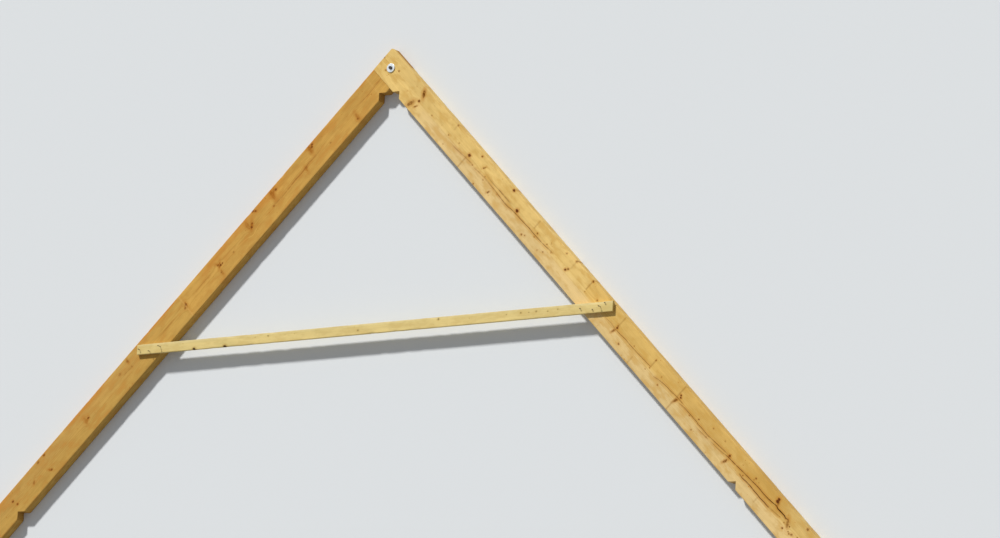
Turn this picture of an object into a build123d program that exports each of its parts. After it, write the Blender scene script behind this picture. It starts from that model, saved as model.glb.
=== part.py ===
from build123d import *
from math import cos, pi, radians, sin, tan
import os

# Wooden roof truss: two rafters half lapped at the apex, tied by a nailed batten.
# It lies on its back: X runs across, Y up the truss to the apex, Z out of its front face.
# The origin is the middle of its footprint, on the floor. Lengths are in millimetres.

# Rafters
roof_pitch = 45.0
rafter_length = 6000.0
rafter_depth = 220.0
rafter_thickness = 80.0
arris_chamfer = 3.0

# Half lap at the apex: the right rafter's half lies in front
lap_front_thickness = 40.0
apex_blunt = 8.0

# Seats cut in the rafters' undersides
ridge_beam_width = 180.0
ridge_seat_width = 62.0
purlin_face_offset = 3130.0
purlin_plumb_cut = 64.0
purlin_width = 180.0

# Batten nailed across the front, a little out of level
batten_height = 75.0
batten_thickness = 25.0
batten_length = 4170.0
batten_drop = 2130.0
batten_shift = -24.0
batten_tilt = 1.4
batten_edge = 1.0

# Coach screw and washer through the middle of the lap
washer_diameter = 68.0
washer_thickness = 6.0
washer_hole = 17.5
washer_edge = 0.8
screw_shank = 16.0
screw_length = 76.0
screw_head_across_flats = 24.0
screw_head_height = 10.0
screw_point = 8.0
screw_clearance = 0.3

# Wire nails, which stand proud of the batten
nail_length = 100.0
nail_shank = 4.2
nail_head_diameter = 9.0
nail_head_thickness = 1.8
nail_point = 7.0
nail_clearance = 0.2

# Nails of the batten: distance in from its end, height above its middle line, and how far each
# head stands proud of its face
left_nails = [(25.0, -1.0, 20.0), (120.0, -20.0, 20.0), (217.0, 8.0, 32.0)]
right_nails = [(62.0, 26.0, 10.0), (102.0, 4.0, 26.0), (164.0, -16.0, 8.0), (265.0, 0.0, 12.0)]

# Drying checks in the right rafter's front face: start and end along the top edge from the apex,
# depth in from the top edge at each end, widest opening, and lean: 1 is widest halfway along and
# more is widest nearer the end
check_depth = 26.0
check_wave = 1.6
check_wave_run = 60.0
drying_checks = [
    (1490.0, 2235.0, 121.0, 107.0, 2.4, 1.4),
    (3070.0, 3475.0, 114.0, 104.0, 2.0, 1.0),
    (3600.0, 4600.0, 118.0, 92.0, 2.6, 1.0),
    (4598.0, 4930.0, 127.0, 118.0, 3.6, 1.0),
    (4640.0, 5105.0, 91.0, 73.0, 7.0, 3.0),
]

# Worked out from the sizes above
pitch_sin = sin(radians(roof_pitch))
pitch_cos = cos(radians(roof_pitch))
pitch_tan = tan(radians(roof_pitch))
apex_y = (rafter_length * pitch_sin + rafter_depth * pitch_cos + apex_blunt) / 2
crotch_drop = rafter_depth / pitch_cos
front_z = rafter_thickness
lap_z = rafter_thickness - lap_front_thickness
cut_reach = 4 * rafter_depth


def down_slope(side, along, inward):
    """Point of a rafter: along its top edge from the apex, then square to it into the timber."""
    return (
        side * (along * pitch_cos - inward * pitch_sin),
        apex_y - along * pitch_sin - inward * pitch_cos,
    )


def prism(corners, low, high):
    """Upright block on a closed outline of corners, from one height to another."""
    with BuildPart() as block:
        with BuildSketch(Plane.XY.offset(low)):
            with BuildLine():
                Polyline(*corners, close=True)
            make_face()
        extrude(amount=high - low)
    return block.part


def cylinder(x, y, low, high, diameter):
    """Round bar standing on the given place, from one height to another."""
    return Pos(x, y, (low + high) / 2) * Cylinder(diameter / 2, high - low)


def rafter_stock(side):
    """Planed timber with eased long edges, square at its foot and running on past the apex."""
    top_run = cut_reach
    section = Rectangle(rafter_depth, rafter_thickness)
    section = chamfer(section.vertices(), arris_chamfer)
    start_x, start_y = down_slope(side, -top_run, rafter_depth / 2)
    lengthways = Plane(
        origin=(start_x, start_y, rafter_thickness / 2),
        x_dir=(side * pitch_sin, pitch_cos, 0),
        z_dir=(side * pitch_cos, -pitch_sin, 0),
    )
    return extrude(lengthways * section, amount=rafter_length + top_run)


def beyond_other_slope(side):
    """Everything past the other rafter's top edge line, where this rafter's end is sawn off."""
    near = down_slope(-side, -cut_reach, 0)
    far = down_slope(-side, cut_reach, 0)
    over = down_slope(-side, cut_reach, -cut_reach)
    back = down_slope(-side, -cut_reach, -cut_reach)
    return prism([near, far, over, back], -1, rafter_thickness + 1)


def lap_waste(side, low, high):
    """The other rafter's half of the lap, taken out of this rafter between two heights."""
    near = down_slope(-side, -cut_reach, rafter_depth)
    far = down_slope(-side, cut_reach, rafter_depth)
    over = down_slope(-side, cut_reach, -cut_reach)
    back = down_slope(-side, -cut_reach, -cut_reach)
    return prism([near, far, over, back], low, high)


def apex_tip():
    """The sharp point of the apex, which is sawn off level."""
    low = apex_y - apex_blunt
    return prism(
        [(-cut_reach, low), (cut_reach, low), (cut_reach, low + cut_reach), (-cut_reach, low + cut_reach)],
        -1,
        rafter_thickness + 1,
    )


def ridge_seat():
    """Space of the ridge beam's head, between the two plumb cuts."""
    half = ridge_beam_width / 2
    seat_y = apex_y - crotch_drop - (half - ridge_seat_width) * pitch_tan
    return prism(
        [(-half, seat_y), (half, seat_y), (half, seat_y - cut_reach), (-half, seat_y - cut_reach)],
        -1,
        rafter_thickness + 1,
    )


def purlin_seat(side):
    """Space of a purlin's head: level seat above it and plumb cut at its outer face."""
    outer = side * purlin_face_offset
    inner = side * (purlin_face_offset - purlin_width)
    seat_y = apex_y - crotch_drop - purlin_face_offset * pitch_tan + purlin_plumb_cut
    return prism(
        [(inner, seat_y), (outer, seat_y), (outer, seat_y - purlin_width), (inner, seat_y - purlin_width)],
        -1,
        rafter_thickness + 1,
    )


def on_batten(along, above):
    """Place of a point given along and above the batten's middle line, from the batten's middle."""
    turn = radians(batten_tilt)
    return (
        batten_shift + along * cos(turn) - above * sin(turn),
        apex_y - batten_drop + along * sin(turn) + above * cos(turn),
    )


def nail_places(side):
    """Centre of each nail at one end of the batten, and how far its head stands proud."""
    marks = left_nails if side < 0 else right_nails
    return [(*on_batten(side * (batten_length / 2 - inset), above), proud) for inset, above, proud in marks]


def nail_head_top(proud):
    """Level of the top of a nail's head."""
    return front_z + batten_thickness + proud


def nail(x, y, proud):
    """Wire nail with a flat round head and a tapered point."""
    head_top = nail_head_top(proud)
    head_seat = head_top - nail_head_thickness
    tip = head_top - nail_length
    head = cylinder(x, y, head_seat, head_top, nail_head_diameter)
    shank = cylinder(x, y, tip + nail_point, head_seat, nail_shank)
    point = Pos(x, y, tip + nail_point / 2) * Cone(nail_shank / 8, nail_shank / 2, nail_point)
    return head + shank + point


def nail_hole(x, y, proud):
    """Hole that a nail sits in, from the batten's face to just past its point."""
    bottom = nail_head_top(proud) - nail_length - nail_clearance
    top = front_z + batten_thickness + 1
    return cylinder(x, y, bottom, top, nail_shank + 2 * nail_clearance)


def screw_place():
    """Middle of the lap, where the coach screw goes in."""
    return 0.0, apex_y - crotch_drop / 2


def apex_screw():
    """Coach screw with hexagon head, shank and point, which ends inside the timber."""
    x, y = screw_place()
    seat = front_z + washer_thickness
    tip = seat - screw_length
    outline = RegularPolygon(screw_head_across_flats / 2, 6, major_radius=False)
    head = Pos(x, y, seat) * extrude(outline, amount=screw_head_height)
    crown = Pos(x, y, seat + screw_head_height / 2) * Cone(
        screw_head_across_flats / 2 + screw_head_height,
        screw_head_across_flats / 2,
        screw_head_height,
    )
    shank = cylinder(x, y, tip + screw_point, seat, screw_shank)
    point = Pos(x, y, tip + screw_point / 2) * Cone(screw_shank / 8, screw_shank / 2, screw_point)
    return (head & crown) + shank + point


def apex_washer():
    """Round timber washer with its hole and eased outer edges."""
    x, y = screw_place()
    disc = cylinder(x, y, front_z, front_z + washer_thickness, washer_diameter)
    disc = chamfer(disc.edges(), washer_edge)
    return disc - cylinder(x, y, front_z - 1, front_z + washer_thickness + 1, washer_hole)


def screw_hole():
    """Pilot hole through the front half of the lap and into the back half."""
    x, y = screw_place()
    bottom = front_z + washer_thickness - screw_length - screw_clearance
    return cylinder(x, y, bottom, rafter_thickness + 1, screw_shank + 2 * screw_clearance)


def drying_check(side, start, end, inward_start, inward_end, opening, lean):
    """Slit that runs with the grain, wavers a little and closes to a point at both ends."""
    steps = 20
    edges = {1: [], -1: []}
    for step in range(steps + 1):
        share = step / steps
        along = start + (end - start) * share
        middle = inward_start + (inward_end - inward_start) * share
        middle = middle + check_wave * sin(share * (end - start) / check_wave_run)
        half = opening / 2 * sin(pi * share**lean) ** 0.5 if 0 < step < steps else 0
        for edge in edges:
            if half or edge > 0:
                edges[edge].append(down_slope(side, along, middle + edge * half))
    outline = edges[1] + edges[-1][::-1]
    return prism(outline, rafter_thickness - check_depth, rafter_thickness + 1)


def rafter(side):
    """One rafter with its end cut, its half of the lap, its seats and its holes."""
    if side < 0:
        lap = lap_waste(side, lap_z, rafter_thickness + 1)
    else:
        lap = lap_waste(side, -1, lap_z)
    timber = rafter_stock(side) - beyond_other_slope(side) - lap - apex_tip()
    timber = timber - ridge_seat() - purlin_seat(side) - screw_hole()
    if side > 0:
        for mark in drying_checks:
            timber = timber - drying_check(side, *mark)
    for place in nail_places(side):
        timber = timber - nail_hole(*place)
    return timber


def batten():
    """Sawn board across the front of both rafters, with the nail holes at its ends."""
    board = Box(batten_length, batten_height, batten_thickness)
    board = chamfer(board.edges().filter_by(Axis.X), batten_edge)
    board = Pos(*on_batten(0, 0), front_z + batten_thickness / 2) * Rot(0, 0, batten_tilt) * board
    for side in (-1, 1):
        for place in nail_places(side):
            board = board - nail_hole(*place)
    return board


def batten_nails(side):
    """The nails at one end of the batten."""
    return Compound([nail(*place) for place in nail_places(side)])


pieces = {
    "rafter_left": rafter(-1),
    "rafter_right": rafter(1),
    "batten": batten(),
    "apex_washer": apex_washer(),
    "apex_screw": apex_screw(),
    "batten_nails_left": batten_nails(-1),
    "batten_nails_right": batten_nails(1),
}

os.makedirs("parts", exist_ok=True)
for name, shape in pieces.items():
    export_step(shape, f"parts/{name}.step")
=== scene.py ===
from math import cos, pi, radians, sin

import bpy
import numpy as np
from mathutils import Matrix, Vector


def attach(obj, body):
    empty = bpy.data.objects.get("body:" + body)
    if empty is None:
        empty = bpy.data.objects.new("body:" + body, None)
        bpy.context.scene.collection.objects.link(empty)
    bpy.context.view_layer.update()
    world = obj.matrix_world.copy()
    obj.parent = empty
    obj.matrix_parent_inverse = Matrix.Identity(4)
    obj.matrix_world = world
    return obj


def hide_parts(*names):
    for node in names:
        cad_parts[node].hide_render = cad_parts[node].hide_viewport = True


# Wooden roof truss, lying on its back on a pale floor. Lengths are in metres, in the frame of the
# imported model: X across the truss, Y up the truss to its apex, Z out of its front face.

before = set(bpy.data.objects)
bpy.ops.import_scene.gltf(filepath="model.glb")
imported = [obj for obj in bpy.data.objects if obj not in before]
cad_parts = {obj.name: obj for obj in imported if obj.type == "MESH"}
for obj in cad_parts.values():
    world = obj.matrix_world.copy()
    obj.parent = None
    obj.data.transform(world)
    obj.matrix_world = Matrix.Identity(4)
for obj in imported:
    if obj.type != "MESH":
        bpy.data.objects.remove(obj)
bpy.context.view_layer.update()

# Sizes of the timbers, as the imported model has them
rafter_pitch = radians(45.0)
rafter_length = 6.0
rafter_depth = 0.220
rafter_thickness = 0.080
lap_level = 0.040
apex_blunt = 0.008
ridge_half = 0.090
ridge_seat_width = 0.062
purlin_face = 3.130
purlin_width = 0.180
purlin_plumb_cut = 0.064
batten_length = 4.170
batten_height = 0.075
batten_thickness = 0.025
batten_drop = 2.130
batten_shift = -0.024
batten_tilt = radians(1.4)
check_depth = 0.026

# Sizes of the washer, the coach screw and the nails
washer_radius = 0.034
washer_hole_radius = 0.00875
washer_thickness = 0.006
screw_length = 0.076
screw_radius = 0.008
screw_point = 0.008
screw_head_half_width = 0.012
nail_length = 0.100
nail_radius = 0.0021
nail_point = 0.007

# Places that follow from them
apex_y = (rafter_length * sin(rafter_pitch) + rafter_depth * cos(rafter_pitch) + apex_blunt) / 2
crotch_y = apex_y - rafter_depth / cos(rafter_pitch)
tip_y = apex_y - apex_blunt
ridge_seat_y = crotch_y - (ridge_half - ridge_seat_width)
purlin_seat_y = crotch_y - purlin_face + purlin_plumb_cut
screw_place = (0.0, (apex_y + crotch_y) / 2)
batten_middle = Vector((batten_shift, apex_y - batten_drop))

# Values that stand for 1 in the ramps that hold knots and checks
pattern_length = 6.0
largest_knot = 0.03
largest_half_width = 0.01

# Depth of the zigzag of a finger joint
finger_depth = 0.004

# Drying checks of the right rafter: the lines that they follow, along and in from the top edge
upper_check = [
    (1.480, 0.120), (1.530, 0.121), (1.580, 0.125), (1.640, 0.128), (1.700, 0.126), (1.730, 0.120),
    (1.780, 0.117), (1.850, 0.116), (1.920, 0.113), (1.950, 0.111), (2.000, 0.113), (2.100, 0.111),
    (2.150, 0.108), (2.200, 0.103), (2.230, 0.100),
]
middle_check = [
    (3.040, 0.118), (3.070, 0.116), (3.120, 0.114), (3.170, 0.109), (3.220, 0.111), (3.320, 0.109),
    (3.380, 0.106), (3.440, 0.103), (3.480, 0.101),
]
short_check = [
    (3.570, 0.125), (3.620, 0.115), (3.680, 0.107), (3.730, 0.107), (3.800, 0.100), (3.880, 0.100),
]
long_check = [
    (3.850, 0.117), (3.900, 0.110), (4.050, 0.109), (4.080, 0.114), (4.130, 0.111), (4.190, 0.113),
    (4.250, 0.107), (4.300, 0.102), (4.350, 0.097), (4.400, 0.092),
]
widest_check = [
    (4.410, 0.106), (4.450, 0.102), (4.500, 0.100), (4.550, 0.096), (4.600, 0.092), (4.650, 0.089),
    (4.700, 0.087), (4.725, 0.084), (4.780, 0.082), (4.830, 0.084), (4.880, 0.082), (4.920, 0.079),
    (4.950, 0.073), (4.970, 0.071), (4.990, 0.077), (5.020, 0.076), (5.070, 0.073), (5.085, 0.080),
]
lower_check = [
    (4.595, 0.122), (4.620, 0.126), (4.660, 0.121), (4.720, 0.119), (4.750, 0.122), (4.800, 0.121),
    (4.830, 0.124), (4.870, 0.120), (4.915, 0.121),
]

# Stop of the widest check from which it gapes
gap_start = 14

# Checks that stand open: line, widest opening, and lean. With 1 a check is widest halfway along,
# and with more it is widest nearer its lower end
open_checks = [
    (upper_check, 0.0024, 1.4), (middle_check, 0.0020, 1.0), (short_check, 0.0020, 1.0),
    (long_check, 0.0024, 1.0), (widest_check, 0.0090, 6.0), (lower_check, 0.0036, 1.0),
]

# How far the blocks that saw the timber reach past its faces
saw_reach = 0.02

# Nails: in from the batten's end, above its middle line, proud of its face
left_nails = [(0.025, -0.001, 0.020), (0.120, -0.020, 0.020), (0.217, 0.008, 0.032)]
right_nails = [(0.062, 0.026, 0.010), (0.102, 0.004, 0.026), (0.164, -0.016, 0.008), (0.265, 0.000, 0.012)]

# Head of a nail, from its neck to the middle of its top: radius, and how far under the top
nail_head = [
    (nail_radius, 0.0019), (0.0036, 0.0018), (0.0044, 0.0014), (0.0045, 0.0007), (0.0042, 0.0002),
    (0.0030, 0.0), (0.0002, 0.0),
]


# Short hands for material nodes


def paint(red, green, blue):
    """A colour given as a screen shows it, from 0 to 255, in the linear light that nodes use."""
    shown = np.array([red, green, blue]) / 255.0
    linear = np.where(shown <= 0.04045, shown / 12.92, ((shown + 0.055) / 1.055) ** 2.4)
    return (*linear.tolist(), 1.0)


def add_node(tree, kind, inputs=None, **settings):
    """A new node with its settings, and with values or links on its inputs."""
    made = tree.nodes.new(kind)
    for name, value in settings.items():
        setattr(made, name, value)
    for name, value in (inputs or {}).items():
        if isinstance(value, bpy.types.NodeSocket):
            tree.links.new(value, made.inputs[name])
        else:
            made.inputs[name].default_value = value
    return made


def maths(tree, operation, first, second=0.0, third=0.0):
    """Result of one step of arithmetic."""
    inputs = {0: first, 1: second, 2: third}
    return add_node(tree, "ShaderNodeMath", inputs, operation=operation).outputs[0]


def times(tree, first, second):
    """The first value times the second."""
    return maths(tree, "MULTIPLY", first, second)


def vector_maths(tree, operation, first, second=(0.0, 0.0, 0.0), result="Vector"):
    """Result of one step of arithmetic with vectors."""
    inputs = {0: first, 1: second}
    return add_node(tree, "ShaderNodeVectorMath", inputs, operation=operation).outputs[result]


def split(tree, vector):
    """The X, Y and Z of a vector."""
    return add_node(tree, "ShaderNodeSeparateXYZ", {0: vector}).outputs


def fade(tree, value, start, end, low=0.0, high=1.0):
    """Smooth change from low to high while value goes from start to end."""
    inputs = {"Value": value, "From Min": start, "From Max": end, "To Min": low, "To Max": high}
    made = add_node(tree, "ShaderNodeMapRange", inputs, interpolation_type="SMOOTHSTEP")
    return made.outputs["Result"]


def stretched(tree, place, factors):
    """The place with each of its parts times a factor, which makes a pattern shorter along it."""
    return vector_maths(tree, "MULTIPLY", place, factors)


def cloud(tree, place, scales, detail=3.0, roughness=0.5):
    """Soft noise from 0 to 1 around one half, with a scale along each axis."""
    inputs = {"Scale": 1.0, "Detail": detail, "Roughness": roughness}
    inputs["Vector"] = stretched(tree, place, scales)
    return add_node(tree, "ShaderNodeTexNoise", inputs).outputs["Fac"]


def swing(tree, noise, reach):
    """A cloud made into a shift either way, by half of reach at most."""
    return times(tree, maths(tree, "SUBTRACT", noise, 0.5), reach)


def blend(tree, share, first, second, how="MIX"):
    """Colour between first and second, by share."""
    made = tree.nodes.new("ShaderNodeMix")
    made.data_type = "RGBA"
    made.blend_type = how
    for socket, value in ((0, share), (6, first), (7, second)):
        if isinstance(value, bpy.types.NodeSocket):
            tree.links.new(value, made.inputs[socket])
        else:
            made.inputs[socket].default_value = value
    return made.outputs[2]


def new_group(name, inputs):
    """A group with named inputs, each a number or a vector. Returns its tree and its inputs."""
    tree = bpy.data.node_groups.new(name, "ShaderNodeTree")
    for socket, value in inputs.items():
        kind = "NodeSocketVector" if isinstance(value, tuple) else "NodeSocketFloat"
        tree.interface.new_socket(socket, in_out="INPUT", socket_type=kind).default_value = value
    return tree, tree.nodes.new("NodeGroupInput").outputs


def close_group(tree, results):
    """Gives a group its outputs, which are named numbers."""
    for socket in results:
        tree.interface.new_socket(socket, in_out="OUTPUT", socket_type="NodeSocketFloat")
    out = tree.nodes.new("NodeGroupOutput")
    for socket, value in results.items():
        tree.links.new(value, out.inputs[socket])
    return tree


def use_group(tree, group, inputs):
    """Outputs of a group that is placed in a material."""
    return add_node(tree, "ShaderNodeGroup", inputs, node_tree=group).outputs


def new_finish(name):
    """An empty material with one shader. Returns the material, its tree and the shader's inputs."""
    material = bpy.data.materials.new(name)
    material.use_nodes = True
    tree = material.node_tree
    tree.nodes.clear()
    shader = add_node(tree, "ShaderNodeBsdfPrincipled")
    out = add_node(tree, "ShaderNodeOutputMaterial")
    tree.links.new(shader.outputs[0], out.inputs[0])
    return material, tree, shader.inputs


# Wood. Place is a point of a timber: X along the grain, Y in from its top edge, Z up from its back


def make_knot_group():
    """Adds one row of knots, round branches through the timber's thickness, to those before it.

    Cell holds the nearest knot of the row: its place along and in from the top edge, and its
    radius, each as a share of its largest value. Reach is 1 on the knot's rim. Grain lines pass
    the knot as a stream passes a post: they are pushed aside by their distance from its axis over
    the square of reach. A spike is a knot cut lengthways: slimmer, and turned on the face."""
    tree, given = new_group("knot_row", {
        "Place": (0, 0, 0), "Push": 0, "Knot": 0, "Halo": 0, "Cell": (0, 0, 0), "Darkness": 1, "Turn": 0,
        "Slimness": 1,
    })
    cell = vector_maths(tree, "MULTIPLY", given["Cell"], (pattern_length, rafter_depth, largest_knot))
    away = vector_maths(tree, "SUBTRACT", given["Place"], cell)
    size = split(tree, cell)["Z"]
    turned = add_node(
        tree, "ShaderNodeVectorRotate", {"Vector": away, "Angle": given["Turn"]}, rotation_type="Z_AXIS"
    ).outputs[0]
    scale = add_node(tree, "ShaderNodeCombineXYZ", {"X": 0.85, "Y": given["Slimness"]}).outputs[0]
    flat = stretched(tree, turned, scale)
    reach = maths(tree, "DIVIDE", vector_maths(tree, "LENGTH", flat, result="Value"), size)
    across = split(tree, away)["Y"]
    outside = maths(tree, "MAXIMUM", reach, 1.0)
    weakened = times(tree, outside, outside)
    push = maths(tree, "DIVIDE", across, weakened)
    core = times(tree, fade(tree, reach, 1.15, 0.75), given["Darkness"])
    halo = times(tree, fade(tree, reach, 2.8, 0.8), given["Darkness"])
    return close_group(tree, {
        "Push": maths(tree, "ADD", given["Push"], push),
        "Knot": maths(tree, "MAXIMUM", given["Knot"], core),
        "Halo": maths(tree, "MAXIMUM", given["Halo"], halo),
    })


def rows_of_knots(knots):
    """Shares the knots out into rows in which no two are near each other, as one ramp holds them."""
    most, least_gap, gap_for_size = 31, 0.025, 2.5
    rows = []
    for knot in sorted(knots):
        for row in rows:
            gap = knot[0] - row[-1][0]
            if gap > least_gap + gap_for_size * (knot[2] + row[-1][2]) and len(row) < most:
                row.append(knot)
                break
        else:
            rows.append([knot])
    return rows


def along_ramp(tree, along, stops, kind):
    """Colour ramp along the timber: each stop is a place, from 0 to 1, and the four values it holds."""
    ramp = add_node(tree, "ShaderNodeValToRGB", {0: along})
    ramp.color_ramp.interpolation = kind
    marks = ramp.color_ramp.elements
    marks.remove(marks[1])
    for number, (position, values) in enumerate(stops):
        mark = marks[0] if number == 0 else marks.new(position)
        mark.position = position
        mark.color = values
    return ramp.outputs


def nearest_of(tree, along, row):
    """Ramp that holds, at every place along the timber, the values of the nearest mark of a row."""
    stops = []
    for number, (at, *values) in enumerate(row):
        start = (at + row[number - 1][0]) / 2 if number else 0.0
        stops.append((start / pattern_length, (at / pattern_length, *values)))
    return along_ramp(tree, along, stops, "CONSTANT")


def make_check_shade_group():
    """Adds one row of drying checks to those before it: thin dark lines with the grain that waver, which
    are painted shade inside the cracks.

    Line holds, at every place along, how far in the check lies, its half width and its darkness."""
    tree, given = new_group("check_shade_row", {
        "Place": (0, 0, 0), "Wander": 0, "Broken": 1, "Line": (0, 0, 0), "Check": 0, "Stain": 0,
    })
    line = split(tree, given["Line"])
    middle = maths(tree, "MULTIPLY_ADD", line["X"], rafter_depth, given["Wander"])
    off = maths(tree, "ABSOLUTE", maths(tree, "SUBTRACT", split(tree, given["Place"])["Y"], middle))
    half = times(tree, line["Y"], largest_half_width)
    dark = times(tree, line["Z"], given["Broken"])
    mask = times(tree, fade(tree, maths(tree, "DIVIDE", off, half), 1.0, 0.3), dark)
    around = times(tree, fade(tree, off, 0.022, 0.002), dark)
    return close_group(tree, {
        "Check": maths(tree, "MAXIMUM", given["Check"], mask),
        "Stain": maths(tree, "MAXIMUM", given["Stain"], around),
    })


def make_joint_group():
    """Glued finger joints: fine zigzag lines square across the timber.

    Cell holds the nearest joint's place along and where its line begins and ends, in from the top."""
    tree, given = new_group("finger_joint", {"Place": (0, 0, 0), "Cell": (0, 0, 0), "Darkness": 1})
    parts = split(tree, given["Place"])
    cell = split(tree, given["Cell"])
    zigzag = maths(tree, "ADD", parts["X"], maths(tree, "PINGPONG", parts["Y"], finger_depth))
    off = maths(tree, "SUBTRACT", zigzag, times(tree, cell["X"], pattern_length))
    off = maths(tree, "ABSOLUTE", off)
    sharp = fade(tree, off, 0.0035, 0.0007)
    soft = fade(tree, off, 0.014, 0.001, 0.0, 0.5)
    begun = maths(tree, "SUBTRACT", parts["Y"], times(tree, cell["Y"], rafter_depth))
    to_go = maths(tree, "SUBTRACT", times(tree, cell["Z"], rafter_depth), parts["Y"])
    between = fade(tree, maths(tree, "MINIMUM", begun, to_go), -0.004, 0.004)
    mask = times(tree, maths(tree, "MAXIMUM", sharp, soft), between)
    return close_group(tree, {"Line": times(tree, mask, given["Darkness"])})


def make_grain_group():
    """Growth rings and fibres of a softwood log that the timber was sawn from.

    Rings are counted by the distance from the pith, which wanders along the timber. Late wood
    is the last part of each ring. Streaks are broad and fibres fine, both far longer than wide."""
    tree, given = new_group("softwood_grain", {
        "Place": (0, 0, 0), "Push": 0, "Pith": (0, 0, 0), "Ring width": 0.0045, "Wander": 0.02,
    })
    slow = cloud(tree, given["Place"], (0.7, 0.0, 0.0), 1.0)
    shift = swing(tree, slow, given["Wander"])
    ripple = cloud(tree, given["Place"], (3.0, 9.0, 9.0), 2.0)
    moved = maths(tree, "ADD", shift, swing(tree, ripple, 0.012))
    moved = maths(tree, "SUBTRACT", moved, given["Push"])
    offset = add_node(tree, "ShaderNodeCombineXYZ", {"Y": moved, "Z": shift}).outputs[0]
    along_grain = vector_maths(tree, "ADD", given["Place"], offset)
    from_pith = vector_maths(tree, "SUBTRACT", along_grain, given["Pith"])
    radius = vector_maths(tree, "LENGTH", stretched(tree, from_pith, (0.0, 1.0, 1.0)), result="Value")
    rings = maths(tree, "DIVIDE", radius, given["Ring width"])
    counted = add_node(tree, "ShaderNodeCombineXYZ", {"X": rings}).outputs[0]
    uneven = cloud(tree, counted, (0.35, 0.0, 0.0), 2.0)
    rings = maths(tree, "MULTIPLY_ADD", uneven, 3.0, rings)
    share = maths(tree, "FRACT", rings)
    late = times(tree, fade(tree, share, 0.25, 0.85), fade(tree, share, 1.0, 0.92))
    return close_group(tree, {
        "Late wood": late,
        "Fibre": cloud(tree, along_grain, (6.0, 420.0, 420.0), 3.0, 0.6),
        "Streak": cloud(tree, along_grain, (1.1, 38.0, 38.0), 3.0, 0.55),
        "Tone": cloud(tree, given["Place"], (1.3, 5.0, 5.0), 2.0),
    })


def make_speck_group():
    """Pin marks and tiny resin dots: a few cells of a scatter hold a small dark round dot."""
    tree, given = new_group("pin_specks", {"Place": (0, 0, 0), "Share": 0.35})
    cells = stretched(tree, given["Place"], (26.0, 38.0, 38.0))
    scatter = add_node(tree, "ShaderNodeTexVoronoi", {"Vector": cells, "Scale": 1.0, "Randomness": 1.0})
    draw = add_node(tree, "ShaderNodeSeparateColor", {"Color": scatter.outputs["Color"]}).outputs
    kept = maths(tree, "LESS_THAN", draw["Red"], given["Share"])
    size = maths(tree, "MULTIPLY_ADD", draw["Green"], 0.09, 0.05)
    dot = maths(tree, "LESS_THAN", scatter.outputs["Distance"], size)
    return close_group(tree, {"Speck": times(tree, dot, kept)})


knot_group = make_knot_group()
check_shade_group = make_check_shade_group()
joint_group = make_joint_group()
speck_group = make_speck_group()
grain_group = make_grain_group()


def add_knots(tree, place, along, masks, rows):
    """Adds rows of knots to the masks. Each row is its turn, its slimness and its knots."""
    for turn, slimness, row in rows:
        cell = nearest_of(tree, along, [
            (at, inward / rafter_depth, size / largest_knot, darkness) for at, inward, size, darkness in row
        ])
        group = use_group(tree, knot_group, {
            "Place": place, **masks, "Cell": cell["Color"], "Darkness": cell["Alpha"], "Turn": turn,
            "Slimness": slimness,
        })
        masks = {key: group[key] for key in masks}
    return masks


def check_shade_and_stain_masks(tree, place, along, rows):
    """Masks of the painted drying checks, dark lines of painted shade inside the cracks, and of the stain
    beside them.
    """
    wander = cloud(tree, place, (11.0, 0.0, 0.0), 4.0, 0.65)
    broken = fade(tree, wander, 0.36, 0.52, 0.35, 1.0)
    wander = swing(tree, wander, 0.024)
    check, stain = 0.0, 0.0
    for row in rows:
        line = along_ramp(tree, along, [
            (at / pattern_length, (inward / rafter_depth, half / largest_half_width, darkness, strays))
            for at, inward, half, darkness, strays in row
        ], "LINEAR")
        group = use_group(tree, check_shade_group, {
            "Place": place, "Wander": times(tree, wander, line["Alpha"]), "Broken": broken,
            "Line": line["Color"], "Check": check, "Stain": stain,
        })
        check, stain = group["Check"], group["Stain"]
    return check, stain


def joint_mask(tree, place, along, joints):
    """Mask of the glue lines of finger joints."""
    if not joints:
        return 0.0
    cell = nearest_of(tree, along, [
        (at, begins / rafter_depth, ends / rafter_depth, darkness)
        for at, begins, ends, darkness in sorted(joints)
    ])
    inputs = {"Place": place, "Cell": cell["Color"], "Darkness": cell["Alpha"]}
    return use_group(tree, joint_group, inputs)["Line"]


def clean_wood(tree, place, grain, blotch, colours, sapwood):
    """Colour of wood with no marks on it: each glued length has its own early wood, the sapwood is
    a paler strip, late wood darkens both, and streaks, fibres and blotches shade it all."""
    parts = split(tree, place)
    zigzag = maths(tree, "ADD", parts["X"], maths(tree, "PINGPONG", parts["Y"], finger_depth))
    early = colours["early"]
    for start, spread, length_colour in colours["lengths"]:
        early = blend(tree, fade(tree, zigzag, start - spread, start + spread), early, length_colour)
    late = blend(tree, 1.0, early, colours["late"], "MULTIPLY")
    if sapwood:
        inward_start, inward_end, along_start, along_end = sapwood
        within = fade(tree, parts["X"], along_start, along_end)
        strip = times(tree, fade(tree, parts["Y"], inward_start, inward_end), within)
        early = blend(tree, strip, early, colours["sap"])
        late = blend(tree, strip, late, blend(tree, 1.0, colours["sap"], colours["late"], "MULTIPLY"))
    colour = blend(tree, times(tree, grain["Late wood"], 0.42), early, late)
    tone = fade(tree, grain["Streak"], 0.34, 0.66, 0.965, 1.03)
    tone = times(tree, tone, fade(tree, grain["Tone"], 0.3, 0.7, 0.93, 1.06))
    tone = times(tree, tone, fade(tree, grain["Fibre"], 0.3, 0.7, 0.95, 1.04))
    tone = times(tree, tone, fade(tree, blotch, 0.62, 0.35, 0.95, 1.05))
    shaded = vector_maths(tree, "SCALE", colour)
    tree.links.new(tone, shaded.node.inputs["Scale"])
    return shaded


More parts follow.
